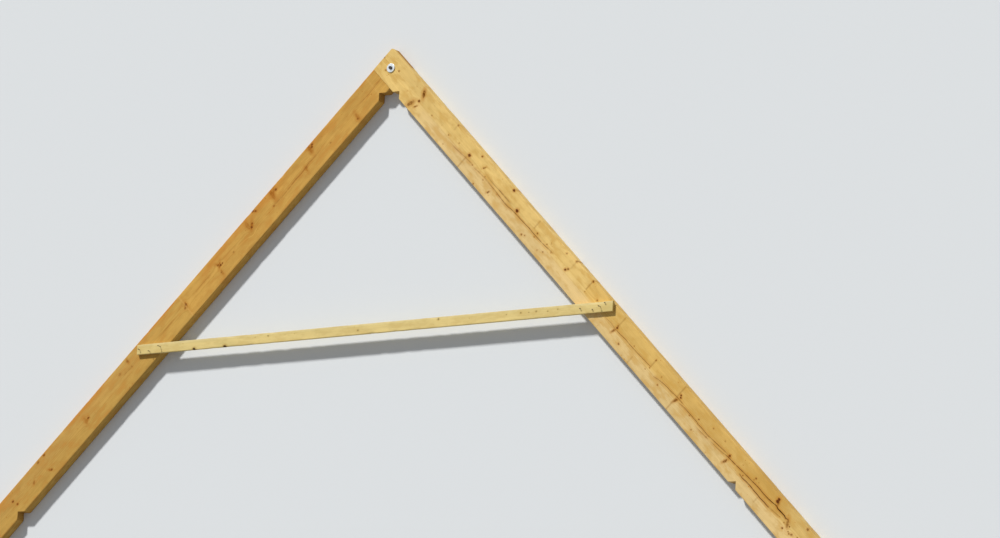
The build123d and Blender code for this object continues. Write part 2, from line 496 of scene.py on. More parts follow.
def timber_finish(name, board, colours, knots, spikes=(), checks=(), joints=(), sapwood=None,
                  warm_edge=0.0, mottle=0.4, pith=(0, 0.11, 0.03), ring_width=0.0045, stain=0.3):
    """Material of one sawn or planed timber.

    board is its place: where the pattern's zero lies, its turn about Z, and -1 where it is mirrored.
    colours has a colour for each kind of wood and mark, and lengths: where a new colour of early
    wood begins, how softly, and the colour. spikes are knots cut lengthways, in lists with the
    turn of each list in degrees. sapwood is where its strip fades in, across and along. warm_edge,
    mottle and stain are how strongly the top edge, the blotches and the patches are tinted."""
    material, tree, shader = new_finish(name)
    shader["Specular IOR Level"].default_value = 0.08
    source = add_node(tree, "ShaderNodeTexCoord").outputs
    origin, turn, mirror = board
    laid = {"Rotation": (0, 0, turn), "Scale": (1, mirror, 1)}
    place = {**laid, "Vector": source["Object"], "Location": origin}
    place = add_node(tree, "ShaderNodeMapping", place).outputs[0]
    normal = add_node(tree, "ShaderNodeMapping", {**laid, "Vector": source["Normal"]}).outputs[0]

    noise = add_node(tree, "ShaderNodeTexNoise", {"Vector": place, "Scale": 90.0, "Detail": 2.0})
    rough = noise.outputs["Color"]
    jitter = stretched(tree, vector_maths(tree, "SUBTRACT", rough, (0.5, 0.5, 0.5)), (0.016, 0.008, 0.0))
    loose = vector_maths(tree, "ADD", place, jitter)
    along = maths(tree, "DIVIDE", split(tree, place)["X"], pattern_length)
    spike_rows = [(-radians(angle), 2.2, row) for angle, marks in spikes for row in rows_of_knots(marks)]
    round_rows = [(0.0, 1.0, row) for row in rows_of_knots(knots)]
    spiked = add_knots(tree, loose, along, {"Push": 0.0, "Knot": 0.0, "Halo": 0.0}, spike_rows)
    masks = add_knots(tree, loose, along, {**spiked, "Knot": 0.0}, round_rows)
    grain = use_group(tree, grain_group, {
        "Place": place, "Push": masks["Push"], "Pith": pith, "Ring width": ring_width,
    })
    check, check_stain = check_shade_and_stain_masks(tree, place, along, checks)

    blotch = cloud(tree, loose, (9.0, 22.0, 22.0), 3.0, 0.6)
    marks = [("warm", fade(tree, blotch, 0.46, 0.68), mottle)]
    if warm_edge:
        glow = cloud(tree, place, (2.4, 14.0, 14.0), 3.0, 0.6)
        near_edge = fade(tree, split(tree, loose)["Y"], 0.09, 0.0)
        marks.append(("warm", times(tree, fade(tree, glow, 0.4, 0.65), near_edge), warm_edge))
    patches = cloud(tree, place, (2.0, 9.0, 9.0), 4.0, 0.65)
    patchy = cloud(tree, place, (45.0, 70.0, 70.0), 3.0, 0.7)
    knot_tone = add_node(tree, "ShaderNodeSeparateColor", {"Color": rough}).outputs["Blue"]
    marks += [
        ("stain", fade(tree, patches, 0.52, 0.72), stain),
        ("halo", use_group(tree, speck_group, {"Place": place})["Speck"], 0.75),
        ("halo", masks["Halo"], 0.6),
        ("spike", spiked["Knot"], fade(tree, patchy, 0.36, 0.56, 0.45, 1.0)),
        ("knot", masks["Knot"], fade(tree, knot_tone, 0.35, 0.55, 0.8, 1.0)),
        ("joint", joint_mask(tree, place, along, joints), 1.0),
        ("halo", check_stain, 0.55),
        # painted shade: the dark inside of the drying checks
        ("check", check, 1.0),
    ]
    colour = clean_wood(tree, loose, grain, blotch, colours, sapwood)
    for kind, mask, strength in marks:
        colour = blend(tree, times(tree, mask, strength), colour, colours[kind])
    end_grain = fade(tree, maths(tree, "ABSOLUTE", split(tree, normal)["X"]), 0.35, 0.95)
    end_colour = blend(tree, times(tree, grain["Late wood"], 0.6), colours["end"], colours["end_late"])
    tree.links.new(blend(tree, end_grain, colour, end_colour), shader["Base Color"])

    tree.links.new(fade(tree, grain["Fibre"], 0.2, 0.8, 0.52, 0.74), shader["Roughness"])
    height = times(tree, grain["Late wood"], 0.25)
    for mask, rise in [(grain["Fibre"], 0.5), (masks["Knot"], 0.6), (check, -3.0)]:
        height = maths(tree, "MULTIPLY_ADD", mask, rise, height)
    relief = add_node(tree, "ShaderNodeBump", {"Height": height, "Strength": 0.35, "Distance": 0.001})
    tree.links.new(relief.outputs[0], shader["Normal"])
    return material


pattern_zero = (apex_y * sin(rafter_pitch), apex_y * cos(rafter_pitch), 0.0)
right_board = (pattern_zero, -rafter_pitch, -1.0)
left_board = (pattern_zero, pi - rafter_pitch, 1.0)

# In each palette, check is painted shade: the dark inside of a drying check
planed_spruce = {
    "early": paint(229, 196, 123), "late": (0.78, 0.67, 0.48, 1.0), "sap": paint(228, 198, 138),
    "end": paint(208, 164, 88), "end_late": paint(156, 104, 46), "stain": paint(186, 150, 72),
    "warm": paint(206, 158, 72), "knot": paint(96, 46, 6), "halo": paint(184, 118, 36),
    "spike": paint(114, 68, 10), "joint": paint(146, 98, 34), "check": paint(52, 28, 8),
    "lengths": [
        (2.656, 0.001, paint(223, 186, 108)), (3.480, 0.1, paint(221, 183, 105)),
        (3.803, 0.001, paint(220, 181, 103)), (4.650, 0.12, paint(212, 170, 90)),
        (5.050, 0.1, paint(223, 189, 116)),
    ],
}
weathered_spruce = {
    "early": paint(204, 160, 81), "late": (0.74, 0.62, 0.42, 1.0), "sap": paint(199, 159, 86),
    "end": paint(182, 134, 60), "end_late": paint(134, 86, 34), "stain": paint(168, 132, 62),
    "warm": paint(196, 128, 50), "knot": paint(108, 56, 10), "halo": paint(172, 104, 28),
    "spike": paint(160, 97, 24), "joint": paint(216, 172, 96), "check": paint(66, 36, 10),
    "lengths": [(2.524, 0.001, paint(199, 159, 82)), (4.880, 0.001, paint(194, 153, 80))],
}
sawn_spruce = {
    "early": paint(226, 204, 138), "late": (0.80, 0.72, 0.54, 1.0), "sap": paint(228, 210, 152),
    "end": paint(196, 168, 92), "end_late": paint(152, 114, 54), "stain": paint(190, 176, 108),
    "warm": paint(214, 184, 112), "knot": paint(64, 38, 12), "halo": paint(176, 142, 68),
    "spike": paint(120, 90, 40), "joint": paint(120, 90, 40), "check": paint(66, 44, 16),
    "lengths": [],
}

# Knots: along and in from the top edge, radius, darkness
right_knots = [
    (0.002, 0.092, 0.005, 0.9), (0.086, 0.150, 0.006, 0.7), (0.183, 0.079, 0.005, 0.8),
    (0.496, 0.113, 0.009, 0.9), (0.665, 0.111, 0.005, 0.6), (0.790, 0.102, 0.003, 0.6),
    (0.890, 0.111, 0.005, 0.7), (0.906, 0.188, 0.004, 0.5), (0.903, 0.008, 0.006, 0.5),
    (1.008, 0.092, 0.005, 0.5), (1.147, 0.092, 0.011, 1.0), (1.240, 0.025, 0.006, 1.0),
    (1.315, 0.075, 0.005, 0.8), (1.220, 0.124, 0.004, 0.7), (1.372, 0.109, 0.004, 0.7),
    (1.376, 0.136, 0.005, 0.5), (1.480, 0.170, 0.006, 0.6), (1.334, 0.211, 0.005, 0.7),
    (1.641, 0.012, 0.009, 1.0), (1.775, 0.095, 0.012, 1.0), (1.952, 0.110, 0.004, 0.6),
    (2.034, 0.090, 0.005, 0.8), (2.034, 0.125, 0.004, 0.6), (1.937, 0.185, 0.006, 0.7),
    (1.963, 0.172, 0.005, 0.6), (2.157, 0.089, 0.004, 0.7), (2.229, 0.108, 0.004, 0.7),
    (2.334, 0.022, 0.006, 0.6), (2.429, 0.091, 0.007, 0.9), (2.414, 0.109, 0.008, 1.0),
    (2.442, 0.005, 0.007, 0.7), (2.658, 0.010, 0.006, 0.9), (2.660, 0.106, 0.003, 0.6),
    (2.173, 0.150, 0.005, 0.5), (2.123, 0.174, 0.005, 0.4), (2.786, 0.078, 0.006, 0.6),
    (3.062, 0.100, 0.008, 1.0), (3.157, 0.169, 0.006, 0.7), (3.267, 0.092, 0.004, 0.6),
    (3.477, 0.040, 0.005, 0.9), (3.479, 0.111, 0.004, 0.6), (3.456, 0.141, 0.004, 0.4),
    (3.620, 0.150, 0.005, 0.6), (3.818, 0.070, 0.007, 1.0), (3.829, 0.082, 0.007, 1.0),
    (4.054, 0.086, 0.005, 0.7), (4.062, 0.178, 0.005, 0.5), (4.192, 0.049, 0.005, 0.5),
    (4.328, 0.045, 0.005, 0.4), (4.432, 0.090, 0.009, 1.0), (4.706, 0.053, 0.006, 0.8),
    (4.949, 0.027, 0.011, 1.0), (4.951, 0.044, 0.011, 1.0), (5.117, 0.143, 0.006, 0.9),
    (5.203, 0.124, 0.008, 0.6), (5.150, 0.098, 0.005, 0.8), (5.168, 0.128, 0.004, 0.7),
    (5.236, 0.150, 0.004, 0.6), (5.255, 0.108, 0.005, 0.6), (4.700, 0.070, 0.004, 0.6),
    (4.745, 0.058, 0.003, 0.6), (4.560, 0.060, 0.003, 0.5), (4.612, 0.111, 0.005, 0.7),
    (5.098, 0.107, 0.004, 0.7), (3.603, 0.090, 0.005, 0.4), (3.975, 0.120, 0.004, 0.6),
    (4.190, 0.130, 0.005, 0.4), (5.184, 0.134, 0.006, 0.6), (5.270, 0.012, 0.008, 0.7),
    (5.560, 0.060, 0.009, 0.9), (5.742, 0.150, 0.007, 0.7),
]

# Spikes, in lists of one turn each: the turn in degrees, and the marks as for knots
right_spikes = [
    (112, [(0.450, 0.172, 0.030, 0.75), (3.053, 0.137, 0.016, 0.9), (3.812, 0.124, 0.018, 0.9),
           (4.430, 0.140, 0.018, 0.9)]),
    (55, [(0.487, 0.050, 0.027, 1.0), (2.180, 0.060, 0.006, 0.4), (3.060, 0.090, 0.012, 0.5),
          (4.960, 0.045, 0.022, 0.7), (5.124, 0.094, 0.026, 0.6)]),
    (-60, [(0.502, 0.160, 0.013, 0.8), (1.478, 0.168, 0.014, 0.6), (1.318, 0.068, 0.013, 0.6)]),
]
left_knots = [
    (0.557, 0.182, 0.008, 0.6), (0.836, 0.137, 0.007, 0.4), (0.953, 0.020, 0.007, 0.9),
    (0.968, 0.034, 0.007, 0.9), (1.102, 0.118, 0.009, 0.4), (1.396, 0.037, 0.009, 0.8),
    (1.487, 0.123, 0.008, 0.5), (1.622, 0.028, 0.007, 0.9), (1.642, 0.008, 0.008, 0.8),
    (1.704, 0.076, 0.006, 0.8), (1.727, 0.096, 0.009, 0.9), (1.961, 0.118, 0.007, 0.4),
    (2.084, 0.108, 0.006, 0.8), (2.104, 0.106, 0.009, 0.9), (2.122, 0.090, 0.007, 0.6),
    (2.135, 0.156, 0.007, 0.5), (2.516, 0.102, 0.010, 0.9), (2.535, 0.118, 0.008, 0.5),
    (3.160, 0.036, 0.010, 0.5), (3.155, 0.097, 0.006, 0.4), (3.272, 0.060, 0.012, 0.3),
    (3.686, 0.104, 0.008, 0.9), (4.155, 0.018, 0.008, 0.8), (4.175, 0.158, 0.007, 0.8),
    (4.230, 0.020, 0.009, 0.5), (4.355, 0.114, 0.012, 0.3), (4.567, 0.128, 0.007, 0.8),
    (4.585, 0.079, 0.008, 0.9), (4.990, 0.060, 0.011, 0.8), (5.330, 0.140, 0.010, 0.7),
    (5.720, 0.080, 0.012, 0.8),
]
left_spikes = [
    (85, [(0.548, 0.168, 0.030, 0.60), (0.990, 0.034, 0.030, 0.85), (1.110, 0.126, 0.022, 0.50),
          (1.442, 0.046, 0.034, 0.85), (1.746, 0.060, 0.034, 0.60), (2.130, 0.160, 0.022, 0.50),
          (2.517, 0.108, 0.030, 0.60), (3.158, 0.036, 0.020, 0.50), (3.718, 0.102, 0.026, 0.50)]),
    (45, [(0.966, 0.028, 0.018, 0.90), (1.420, 0.034, 0.022, 0.70), (1.722, 0.088, 0.026, 0.95),
          (2.112, 0.100, 0.022, 0.80), (2.522, 0.104, 0.018, 0.80), (3.702, 0.110, 0.018, 0.60),
          (4.355, 0.115, 0.018, 0.40), (5.005, 0.072, 0.024, 0.50)]),
    (-50, [(1.630, 0.018, 0.014, 0.80), (2.118, 0.088, 0.022, 0.70), (3.712, 0.095, 0.018, 0.50),
           (4.186, 0.150, 0.018, 0.70), (5.345, 0.128, 0.018, 0.60)]),
]


def drawn(line, half_width, darkness):
    """Stops of a painted check on a line, which doesn't stray from it."""
    return [(along, inward, half_width, darkness, 0) for along, inward in line]


def straying(strays, stops):
    """Stops of a painted check that strays: each is along, inward, half width and darkness."""
    return [(*stop, strays) for stop in stops]


# Painted checks, whose dark lines are painted shade inside the cracks, in rows of which no two checks lie
# side by side
right_check_shade_lines = [
    straying(0.2, [
        (0.940, 0.138, 0.002, 0.0), (1.000, 0.138, 0.002, 0.7), (1.070, 0.132, 0.002, 0.7),
        (1.120, 0.127, 0.002, 0.6), (1.200, 0.122, 0.002, 0.6), (1.225, 0.122, 0.002, 0.0),
        (1.230, 0.131, 0.002, 0.0), (1.270, 0.126, 0.002, 0.7), (1.300, 0.121, 0.002, 0.6),
        (1.370, 0.118, 0.002, 0.5), (1.440, 0.118, 0.002, 0.6),
    ])
    + drawn(upper_check, 0.0025, 0.8)
    + drawn([(2.260, 0.098)], 0.0015, 0.0),
    straying(0.3, [
        (1.320, 0.085, 0.002, 0.0), (1.400, 0.095, 0.003, 0.3), (1.500, 0.097, 0.004, 0.5),
        (1.540, 0.094, 0.004, 0.7), (1.660, 0.095, 0.004, 0.6), (1.710, 0.094, 0.002, 0.0),
    ])
    + straying(0.2, [(2.880, 0.113, 0.002, 0.0), (2.950, 0.114, 0.002, 0.5), (3.000, 0.110, 0.002, 0.5)])
    + drawn(middle_check, 0.0022, 0.7)
    + drawn([(3.490, 0.101), (3.535, 0.137)], 0.0015, 0.0)
    + drawn(short_check, 0.0022, 0.7)
    + drawn([(3.890, 0.100)], 0.0015, 0.0),
    drawn([(3.840, 0.118)], 0.0015, 0.0)
    + drawn(long_check, 0.0024, 0.75)
    + drawn([(4.420, 0.091), (4.585, 0.122)], 0.0015, 0.0)
    + drawn(lower_check, 0.0035, 0.95)
    + straying(0.2, [
        (4.950, 0.118, 0.003, 0.6), (4.980, 0.112, 0.003, 0.4), (5.030, 0.105, 0.003, 0.5),
        (5.060, 0.100, 0.002, 0.0),
    ]),
    straying(0.2, [
        (4.060, 0.138, 0.002, 0.0), (4.120, 0.136, 0.0025, 0.5), (4.190, 0.131, 0.0025, 0.5),
        (4.250, 0.126, 0.0025, 0.4), (4.320, 0.120, 0.0025, 0.5), (4.380, 0.113, 0.0025, 0.6),
    ])
    + drawn(widest_check[:gap_start], 0.0030, 0.95)
    + drawn(widest_check[gap_start:], 0.0050, 1.0)
    + straying(0, [
        (5.092, 0.076, 0.0035, 0.6), (5.110, 0.070, 0.0040, 0.8), (5.118, 0.085, 0.0045, 0.8),
        (5.130, 0.105, 0.0040, 0.7), (5.150, 0.125, 0.0020, 0.0),
    ]),
]
left_check_shade_lines = [
    straying(0.3, [
        (0.200, 0.105, 0.0015, 0.0), (0.240, 0.105, 0.002, 0.5), (0.370, 0.112, 0.002, 0.5),
        (0.460, 0.107, 0.002, 0.5), (0.550, 0.097, 0.0015, 0.0), (0.920, 0.112, 0.0015, 0.0),
        (0.950, 0.112, 0.002, 0.6), (1.000, 0.111, 0.002, 0.5), (1.070, 0.107, 0.002, 0.6),
        (1.110, 0.115, 0.003, 0.6), (1.170, 0.119, 0.002, 0.6), (1.230, 0.115, 0.0025, 0.7),
        (1.320, 0.121, 0.002, 0.6), (1.380, 0.124, 0.002, 0.5), (1.440, 0.121, 0.002, 0.5),
        (1.500, 0.118, 0.0015, 0.0),
    ])
    + straying(0.4, [
        (2.150, 0.094, 0.0015, 0.0), (2.220, 0.096, 0.002, 0.4), (2.290, 0.092, 0.002, 0.4),
        (2.370, 0.095, 0.002, 0.4), (2.430, 0.096, 0.0015, 0.0),
    ])
    + straying(0.3, [
        (2.640, 0.113, 0.0015, 0.0), (2.680, 0.109, 0.0025, 0.5), (2.760, 0.110, 0.002, 0.5),
        (2.820, 0.112, 0.002, 0.4), (2.870, 0.110, 0.0015, 0.0), (3.140, 0.100, 0.0015, 0.0),
        (3.180, 0.098, 0.002, 0.4), (3.230, 0.096, 0.002, 0.4), (3.270, 0.096, 0.0015, 0.0),
    ]),
]

# Finger joints: along, where the line begins and ends in from the top edge, darkness
right_joints = [
    (0.900, 0.0, 0.060, 0.3), (1.136, 0.115, 0.220, 0.6), (1.985, 0.010, 0.085, 0.5),
    (2.445, 0.0, 0.080, 0.35), (2.656, 0.0, 0.090, 0.65), (3.062, 0.0, 0.100, 0.5),
    (3.316, 0.150, 0.220, 0.4), (3.480, 0.045, 0.104, 0.6), (3.803, 0.0, 0.220, 0.6),
    (4.815, 0.130, 0.180, 0.35), (5.480, 0.0, 0.220, 0.5),
]
left_joints = [(0.310, 0.0, 0.220, 0.4), (2.524, 0.0, 0.220, 0.55), (4.880, 0.0, 0.220, 0.45)]

right_finish = timber_finish(
    "planed_spruce_right", right_board, planed_spruce, right_knots, right_spikes, right_check_shade_lines,
    right_joints, sapwood=(0.098, 0.148, 0.30, 0.75), mottle=0.5, stain=0.2,
)
left_finish = timber_finish(
    "planed_spruce_left", left_board, weathered_spruce, left_knots, left_spikes, left_check_shade_lines,
    left_joints, sapwood=(0.20, 0.02, 2.6, 3.4), warm_edge=0.8, mottle=0.35, stain=0.4,
)

# Knots of the batten: along from its left end and up from its lower edge, radius, darkness
batten_knots = [
    (0.528, 0.003, 0.010, 1.0), (0.810, 0.002, 0.011, 1.0), (1.200, 0.052, 0.005, 0.5),
    (2.000, 0.030, 0.006, 0.5), (2.700, 0.058, 0.007, 0.6), (3.281, 0.046, 0.004, 0.5),
    (3.404, 0.048, 0.005, 0.7), (3.470, 0.046, 0.003, 0.6), (3.533, 0.048, 0.005, 0.6),
    (3.630, 0.042, 0.004, 0.5), (3.715, 0.050, 0.004, 0.5),
]
centre = Matrix.Rotation(-batten_tilt, 2) @ batten_middle
batten_zero = (batten_length / 2 - centre.x, batten_height / 2 - centre.y, -rafter_thickness)
batten_finish = timber_finish(
    "sawn_spruce", (batten_zero, -batten_tilt, 1.0), sawn_spruce, batten_knots,
    sapwood=(0.05, 0.07, -1.0, -0.9), pith=(0, -0.04, 0.05), ring_width=0.004,
)


def galvanised_finish():
    """Zinc coat: pale grey metal with faint spangles, a little duller in patches."""
    material, tree, shader = new_finish("galvanised_steel")
    shader["Metallic"].default_value = 0.9
    place = add_node(tree, "ShaderNodeTexCoord").outputs["Object"]
    spangle = add_node(tree, "ShaderNodeTexVoronoi", {"Vector": place, "Scale": 260.0}).outputs["Color"]
    shade = split(tree, spangle)["X"]
    dull = fade(tree, cloud(tree, place, (60.0, 60.0, 60.0)), 0.4, 0.7)
    colour = blend(tree, times(tree, shade, 0.5), paint(226, 232, 236), paint(196, 204, 210))
    colour = blend(tree, times(tree, dull, 0.4), colour, paint(176, 182, 186))
    tree.links.new(colour, shader["Base Color"])
    roughness = maths(tree, "MULTIPLY_ADD", dull, 0.2, maths(tree, "MULTIPLY_ADD", shade, 0.12, 0.24))
    tree.links.new(roughness, shader["Roughness"])
    return material


def dull_steel_and_painted_shade_finish(name, colour):
    """Rolled steel gone dull: a dark grey that is darkened with painted shade, with a brown bloom in
    patches.
    """
    material, tree, shader = new_finish(name)
    shader["Metallic"].default_value = 0.75
    place = add_node(tree, "ShaderNodeTexCoord").outputs["Object"]
    bloom = fade(tree, cloud(tree, place, (140.0, 140.0, 140.0), 4.0, 0.6), 0.42, 0.66)
    bloomed = blend(tree, times(tree, bloom, 0.6), colour, paint(96, 66, 44))
    tree.links.new(bloomed, shader["Base Color"])
    tree.links.new(maths(tree, "MULTIPLY_ADD", bloom, 0.25, 0.42), shader["Roughness"])
    return material


zinc = galvanised_finish()
# The screw and the nails are darkened to paint the shade on and around their heads
screw_steel_painted_shade = dull_steel_and_painted_shade_finish("screw_steel_painted_shade", paint(56, 58, 62))
nail_steel = dull_steel_and_painted_shade_finish("nail_steel", paint(62, 58, 54))


# Shapes. Each is a surface worked out on a grid, or a profile carried along a path


def put(name, data):
    """A new object in the scene, which shows a mesh, a lamp or a camera."""
    made = bpy.data.objects.new(name, data)
    bpy.context.scene.collection.objects.link(made)
    return made


def lone_object(name, points, faces, smooth_angle=35.0):
    """Mesh object from corner places and faces, smooth across edges that turn less than an angle."""
    mesh = bpy.data.meshes.new(name)
    mesh.from_pydata(points.tolist(), [], faces)
    mesh.polygons.foreach_set("use_smooth", [True] * len(mesh.polygons))
    mesh.update()
    mesh.set_sharp_from_angle(angle=radians(smooth_angle))
    return put(name, mesh)


def ring_faces(rings, count, first=0, closed=False):
    """Four-sided faces between rings of count points each, and a many-sided face at each end, or
    faces from the last ring back to the first where the rings are closed."""
    row = np.arange(rings if closed else rings - 1)[:, None] * count
    next_row = (row + count) % (rings * count)
    step = np.arange(count)[None, :]
    after = (step + 1) % count
    sides = np.stack([row + step, row + after, next_row + after, next_row + step], axis=-1) + first
    if closed:
        return sides.reshape(-1, 4).tolist()
    first_end = list(range(first + count - 1, first - 1, -1))
    last_end = list(range(first + (rings - 1) * count, first + rings * count))
    return sides.reshape(-1, 4).tolist() + [first_end, last_end]


def smooth_noise(places, seed, wavelengths, octaves=3):
    """Sum of sine waves of random direction and phase, from about -1 to 1.

    places holds points in its last axis, and wavelengths the longest wave along each axis. Each
    octave halves the wavelength and the height."""
    waves = 4
    draw = np.random.default_rng(seed)
    total = np.zeros(places.shape[:-1])
    for octave in range(octaves):
        for _ in range(waves):
            turn = draw.normal(size=places.shape[-1])
            turn = turn / np.linalg.norm(turn) * 2 * pi / np.array(wavelengths) * 2**octave
            total += np.sin(places @ turn + draw.uniform(0, 2 * pi)) * 0.5**octave
    return total / waves


def rounded_profile(width, height, radius, spacing):
    """Outline of a plank's end: a rectangle about the origin whose corners are quarter circles.

    Returns the points, their outward directions, and 1 on the corners and 0 on the flats."""
    arc_points = 5
    corners = [(1, 1, 0.0), (-1, 1, 90.0), (-1, -1, 180.0), (1, -1, 270.0)]
    flats = [width, height, width, height]
    points, outward, corner = [], [], []
    for (x_side, y_side, start), flat in zip(corners, flats):
        centre = np.array([x_side * (width / 2 - radius), y_side * (height / 2 - radius)])
        turn = np.radians(start + np.linspace(0, 90, arc_points))
        arc = np.stack([np.cos(turn), np.sin(turn)], axis=-1)
        points.append(centre + radius * arc)
        outward.append(arc)
        corner.append(np.ones(arc_points))
        steps = max(int((flat - 2 * radius) / spacing), 1)
        share = (np.arange(1, steps) / steps)[:, None]
        leave = points[-1][-1]
        along = arc[-1][::-1] * np.array([-1, 1]) * (flat - 2 * radius)
        points.append(leave + share * along)
        outward.append(np.repeat(arc[-1][None, :], steps - 1, axis=0))
        corner.append(np.zeros(steps - 1))
    return np.concatenate(points), np.concatenate(outward), np.concatenate(corner)


def plank_points(stations, depth, thickness, radius, spacing, wear, seed, cup=0.0004):
    """Sawn or planed timber: its rounded outline carried along it, with an uneven surface.

    A place is X along, Y in from the top edge and Z up from the back. Every point is moved inwards
    by a slow wave, by a shallow hollow of depth cup along the middle of the faces, and on the
    arrises by wear that comes and goes along the timber."""
    wave_length, wave_height = (1.3, 0.35, 0.35), 0.0002
    nick_length, least_nick = (0.16, 0.5, 0.5), 0.35
    outline, outward, corner = rounded_profile(depth, thickness, radius, spacing)
    count, rings = len(outline), len(stations)
    places = np.zeros((rings, count, 3))
    places[..., 0] = stations[:, None]
    places[..., 1] = outline[None, :, 0]
    places[..., 2] = outline[None, :, 1]
    wave = smooth_noise(places, seed, wave_length)
    nick = smooth_noise(places, seed + 1, nick_length, 4)
    worn = np.clip(nick - least_nick, 0.0, 1.0) * corner[None, :] * wear
    hollow = cup * (1.0 - (2.0 * places[..., 1] / depth) ** 2) * np.abs(outward[None, :, 1])
    inwards = wave_height * (1.0 + wave) + worn + hollow
    places[..., 1] -= outward[None, :, 0] * inwards
    places[..., 2] -= outward[None, :, 1] * inwards
    places[..., 1] += depth / 2
    places[..., 2] += thickness / 2
    return places.reshape(-1, 3), rings, count


def in_rafter(places, side):
    """Moves places given along, in from the top edge and up from the back into a rafter."""
    along, inward, up = places[..., 0], places[..., 1], places[..., 2]
    across = side * (along * cos(rafter_pitch) - inward * sin(rafter_pitch))
    height = apex_y - along * sin(rafter_pitch) - inward * cos(rafter_pitch)
    return np.stack([across, height, up], axis=-1)


def on_batten(places):
    """Moves places given along the batten from its middle, above its middle line and up from its
    back into the batten as it is nailed on, a little out of level."""
    along, above, up = places[..., 0], places[..., 1], places[..., 2]
    across = batten_middle[0] + along * cos(batten_tilt) - above * sin(batten_tilt)
    height = batten_middle[1] + along * sin(batten_tilt) + above * cos(batten_tilt)
    return np.stack([across, height, up + rafter_thickness], axis=-1)


def face_outwards(faces, inwards):
    """Turns the faces round where they were made to face inwards."""
    return [face[::-1] for face in faces] if inwards else faces


def cut_block(corners, low, high):
    """Block on an outline of corners that run anticlockwise, for sawing timber away."""
    levels = [np.column_stack([corners, np.full(len(corners), level)]) for level in (low, high)]
    return lone_object("cut_block", np.concatenate(levels), ring_faces(2, len(corners)))


def cut_rectangle(left, right, bottom, top):
    """Block that saws right through the timber, between two places across and two up the truss."""
    corners = np.array([(left, bottom), (right, bottom), (right, top), (left, top)])
    return cut_block(corners, -saw_reach, rafter_thickness + saw_reach)


def cut_check(seed, line, opening, lean):
    """Wedge that opens a drying check of the right rafter: a V carried along the check's line.

    Its half width is opening / 2 times the root of sin(pi times share to the power of lean), made
    uneven by waves, and it is deepest where it is widest. The V starts a little over the face."""
    steps, over_face, flare, least_half = 90, 0.0015, 1.1, 0.00015
    uneven_length, unevenness, waver_length, waver_height, waver_seed = 0.11, 0.45, 0.06, 0.0005, 3
    line = np.array(line)
    share = np.linspace(0.004, 0.996, steps)
    along = line[0, 0] + (line[-1, 0] - line[0, 0]) * share
    uneven = smooth_noise(along[:, None], seed, (uneven_length,), 4)
    waver = waver_height * smooth_noise(along[:, None], waver_seed, (waver_length,), 4)
    middle = np.interp(along, line[:, 0], line[:, 1]) + waver
    half = opening / 2 * np.sqrt(np.sin(pi * share**lean)) * (1.0 + unevenness * uneven)
    half = np.maximum(half, least_half)
    depth = check_depth * np.sqrt(half / half.max())
    rings = np.zeros((steps, 3, 3))
    rings[..., 0] = along[:, None]
    rings[..., 1] = middle[:, None] + half[:, None] * np.array([-flare, flare, 0.0])
    rings[:, :2, 2] = rafter_thickness + over_face
    rings[:, 2, 2] = rafter_thickness - depth
    return lone_object("cut_check", in_rafter(rings, 1).reshape(-1, 3), ring_faces(steps, 3))


def saw(piece, cutters):
    """Takes the cutters out of a piece for good, and then throws them away."""
    for cutter in cutters:
        step = piece.modifiers.new("saw", "BOOLEAN")
        step.operation = "DIFFERENCE"
        step.solver = "EXACT"
        step.object = cutter
        view = bpy.context.evaluated_depsgraph_get()
        sawn = bpy.data.meshes.new_from_object(piece.evaluated_get(view))
        piece.modifiers.clear()
        piece.data = sawn
        bpy.data.meshes.remove(cutter.data)
    piece.data.polygons.foreach_set("use_smooth", [True] * len(piece.data.polygons))
    piece.data.set_sharp_from_angle(angle=radians(35.0))
    return piece


def make_rafter(name, side):
    """Rafter: planed stock, sawn for the half lap, the seats and the blunt tip, with its checks."""
    stations = np.linspace(0.0, rafter_length, 501)
    points, rings, count = plank_points(
        stations, rafter_depth, rafter_thickness, radius=0.0032, spacing=0.012, wear=0.0026, seed=5 + side
    )
    rafter = lone_object(name, in_rafter(points, side), face_outwards(ring_faces(rings, count), side > 0))
    before, depth, past = -saw_reach, rafter_depth, rafter_depth + saw_reach
    lap = np.array([(before, before, 0), (depth, before, 0), (depth, past, 0), (before, past, 0)])
    lap = in_rafter(lap, side)[::-side, :2]
    low, high = (-saw_reach, lap_level) if side > 0 else (lap_level, rafter_thickness + saw_reach)
    left, right = sorted((side * (purlin_face - purlin_width), side * purlin_face))
    cutters = [
        cut_block(lap, low, high),
        cut_rectangle(-rafter_depth, rafter_depth, tip_y, apex_y + saw_reach),
        cut_rectangle(-ridge_half, ridge_half, ridge_seat_y - rafter_depth, ridge_seat_y),
        cut_rectangle(left, right, purlin_seat_y - rafter_depth, purlin_seat_y),
    ]
    if side > 0:
        cutters += [cut_check(seed, *check) for seed, check in enumerate(open_checks, start=10)]
    return saw(rafter, cutters)


def make_batten():
    """Batten: sawn stock whose arrises are worn more than the planed rafters', with flat faces."""
    stations = np.linspace(-batten_length / 2, batten_length / 2, 420)
    points, rings, count = plank_points(
        stations, batten_height, batten_thickness, radius=0.0012, spacing=0.007, wear=0.005, seed=11,
        cup=0.0,
    )
    points = points - np.array([0.0, batten_height / 2, 0.0])
    return lone_object("sawn_batten", on_batten(points), ring_faces(rings, count))


def turned_points(radii, levels, count, middle, lean, lean_from):
    """Round piece turned about an upright axis, given radius and level of each of its rings.

    Above lean_from the axis bends: it moves by lean times the square of the height above it."""
    turn = np.linspace(0, 2 * pi, count, endpoint=False)
    over = np.clip(np.array(levels) - lean_from, 0, None) ** 2
    rings = np.zeros((len(radii), count, 3))
    rings[..., 0] = middle[0] + np.outer(radii, np.cos(turn)) + (over * lean[0])[:, None]
    rings[..., 1] = middle[1] + np.outer(radii, np.sin(turn)) + (over * lean[1])[:, None]
    rings[..., 2] = np.array(levels)[:, None]
    return rings.reshape(-1, 3)


